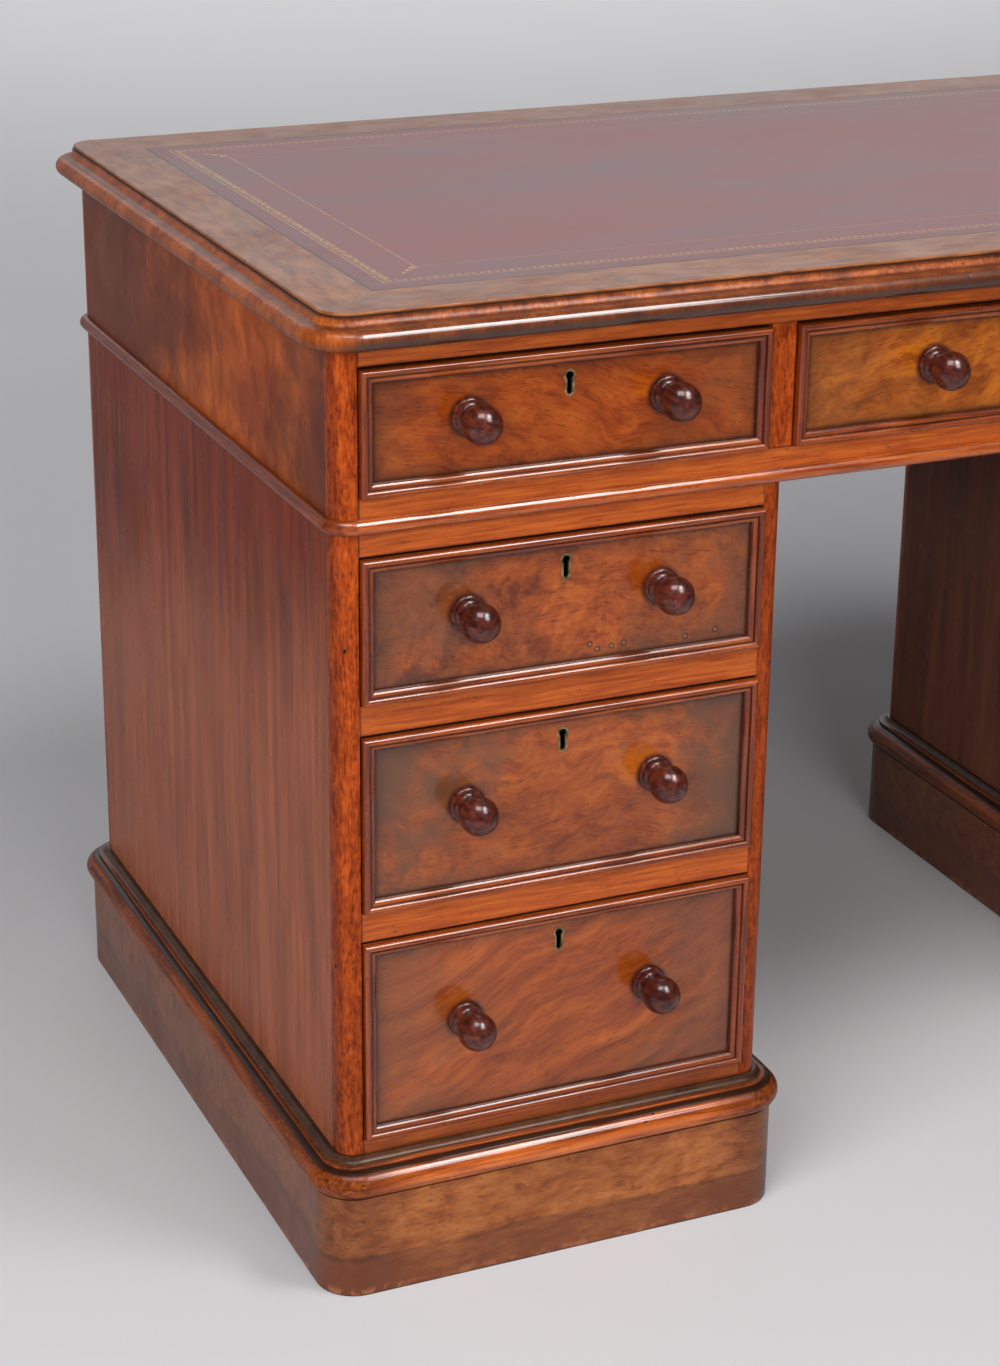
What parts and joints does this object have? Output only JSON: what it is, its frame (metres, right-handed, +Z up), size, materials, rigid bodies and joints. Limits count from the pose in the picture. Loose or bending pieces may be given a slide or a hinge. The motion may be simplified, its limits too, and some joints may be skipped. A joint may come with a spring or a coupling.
{
  "type": "pedestal desk",
  "caption": "Antique mahogany and walnut pedestal partners desk with a gilt-tooled burgundy leather top, moulded plinths and drawers on both faces",
  "frame": {"origin": "on the floor under the middle of the desk", "axes": "+X along the desk to the right as seen from the front face, +Y from the front face to the back face, +Z up"},
  "size_m": [1.223, 0.686, 0.76],
  "materials": {
    "mahogany": "french polished",
    "figured_veneer": "french polished",
    "top_veneer": "worn polish",
    "carcass_wood": "unfinished",
    "leather": "gilt tooled",
    "brass": "aged"
  },
  "bodies": {
    "carcass": {"top_board": "top_veneer", "leather_writing_surface": "leather", "top_edge_moulding": "mahogany", "frieze_end_panels": "figured_veneer", "frieze_corner_posts": "mahogany", "frieze_base_rails": "mahogany", "frieze_top_rails": "mahogany", "frieze_partitions": "mahogany", "frieze_runners_and_kickers": "carcass_wood", "frieze_bottom_board": "carcass_wood", "frieze_bead": "mahogany", "locating_pegs": "carcass_wood", "left_pedestal_sides": "mahogany", "right_pedestal_sides": "mahogany", "left_pedestal_posts": "mahogany", "right_pedestal_posts": "mahogany", "left_pedestal_rails": "mahogany", "right_pedestal_rails": "mahogany", "left_pedestal_boards": "carcass_wood", "right_pedestal_boards": "carcass_wood", "left_plinth": "mahogany", "right_plinth": "mahogany", "pedestal_runners": "carcass_wood", "plinth_mouldings": "mahogany"},
    "front_frieze_drawer_left": {"front_frieze_drawer_left": "figured_veneer", "front_frieze_drawer_left_lock": "brass"},
    "front_frieze_drawer_centre": {"front_frieze_drawer_centre": "figured_veneer", "front_frieze_drawer_centre_lock": "brass"},
    "front_frieze_drawer_right": {"front_frieze_drawer_right": "figured_veneer", "front_frieze_drawer_right_lock": "brass"},
    "front_left_drawer_top": {"front_left_drawer_top": "figured_veneer", "front_left_drawer_top_lock": "brass"},
    "front_left_drawer_middle": {"front_left_drawer_middle": "figured_veneer", "front_left_drawer_middle_lock": "brass"},
    "front_left_drawer_bottom": {"front_left_drawer_bottom": "figured_veneer", "front_left_drawer_bottom_lock": "brass"},
    "front_right_drawer_top": {"front_right_drawer_top": "figured_veneer", "front_right_drawer_top_lock": "brass"},
    "front_right_drawer_middle": {"front_right_drawer_middle": "figured_veneer", "front_right_drawer_middle_lock": "brass"},
    "front_right_drawer_bottom": {"front_right_drawer_bottom": "figured_veneer", "front_right_drawer_bottom_lock": "brass"},
    "back_frieze_drawer_left": {"back_frieze_drawer_left": "figured_veneer", "back_frieze_drawer_left_lock": "brass"},
    "back_frieze_drawer_centre": {"back_frieze_drawer_centre": "figured_veneer", "back_frieze_drawer_centre_lock": "brass"},
    "back_frieze_drawer_right": {"back_frieze_drawer_right": "figured_veneer", "back_frieze_drawer_right_lock": "brass"},
    "back_left_drawer_top": {"back_left_drawer_top": "figured_veneer", "back_left_drawer_top_lock": "brass"},
    "back_left_drawer_middle": {"back_left_drawer_middle": "figured_veneer", "back_left_drawer_middle_lock": "brass"},
    "back_left_drawer_bottom": {"back_left_drawer_bottom": "figured_veneer", "back_left_drawer_bottom_lock": "brass"},
    "back_right_drawer_top": {"back_right_drawer_top": "figured_veneer", "back_right_drawer_top_lock": "brass"},
    "back_right_drawer_middle": {"back_right_drawer_middle": "figured_veneer", "back_right_drawer_middle_lock": "brass"},
    "back_right_drawer_bottom": {"back_right_drawer_bottom": "figured_veneer", "back_right_drawer_bottom_lock": "brass"}
  },
  "joints": [
    {"name": "front_frieze_drawer_left_slide", "type": "slide", "parent": "carcass", "child": "front_frieze_drawer_left", "axis": [0, -1, 0], "range_m": [0, 0.21]},
    {"name": "front_frieze_drawer_centre_slide", "type": "slide", "parent": "carcass", "child": "front_frieze_drawer_centre", "axis": [0, -1, 0], "range_m": [0, 0.21]},
    {"name": "front_frieze_drawer_right_slide", "type": "slide", "parent": "carcass", "child": "front_frieze_drawer_right", "axis": [0, -1, 0], "range_m": [0, 0.21]},
    {"name": "front_left_drawer_top_slide", "type": "slide", "parent": "carcass", "child": "front_left_drawer_top", "axis": [0, -1, 0], "range_m": [0, 0.21]},
    {"name": "front_left_drawer_middle_slide", "type": "slide", "parent": "carcass", "child": "front_left_drawer_middle", "axis": [0, -1, 0], "range_m": [0, 0.21]},
    {"name": "front_left_drawer_bottom_slide", "type": "slide", "parent": "carcass", "child": "front_left_drawer_bottom", "axis": [0, -1, 0], "range_m": [0, 0.21]},
    {"name": "front_right_drawer_top_slide", "type": "slide", "parent": "carcass", "child": "front_right_drawer_top", "axis": [0, -1, 0], "range_m": [0, 0.21]},
    {"name": "front_right_drawer_middle_slide", "type": "slide", "parent": "carcass", "child": "front_right_drawer_middle", "axis": [0, -1, 0], "range_m": [0, 0.21]},
    {"name": "front_right_drawer_bottom_slide", "type": "slide", "parent": "carcass", "child": "front_right_drawer_bottom", "axis": [0, -1, 0], "range_m": [0, 0.21]},
    {"name": "back_frieze_drawer_left_slide", "type": "slide", "parent": "carcass", "child": "back_frieze_drawer_left", "axis": [0, 1, 0], "range_m": [0, 0.21]},
    {"name": "back_frieze_drawer_centre_slide", "type": "slide", "parent": "carcass", "child": "back_frieze_drawer_centre", "axis": [0, 1, 0], "range_m": [0, 0.21]},
    {"name": "back_frieze_drawer_right_slide", "type": "slide", "parent": "carcass", "child": "back_frieze_drawer_right", "axis": [0, 1, 0], "range_m": [0, 0.21]},
    {"name": "back_left_drawer_top_slide", "type": "slide", "parent": "carcass", "child": "back_left_drawer_top", "axis": [0, 1, 0], "range_m": [0, 0.21]},
    {"name": "back_left_drawer_middle_slide", "type": "slide", "parent": "carcass", "child": "back_left_drawer_middle", "axis": [0, 1, 0], "range_m": [0, 0.21]},
    {"name": "back_left_drawer_bottom_slide", "type": "slide", "parent": "carcass", "child": "back_left_drawer_bottom", "axis": [0, 1, 0], "range_m": [0, 0.21]},
    {"name": "back_right_drawer_top_slide", "type": "slide", "parent": "carcass", "child": "back_right_drawer_top", "axis": [0, 1, 0], "range_m": [0, 0.21]},
    {"name": "back_right_drawer_middle_slide", "type": "slide", "parent": "carcass", "child": "back_right_drawer_middle", "axis": [0, 1, 0], "range_m": [0, 0.21]},
    {"name": "back_right_drawer_bottom_slide", "type": "slide", "parent": "carcass", "child": "back_right_drawer_bottom", "axis": [0, 1, 0], "range_m": [0, 0.21]}
  ]
}
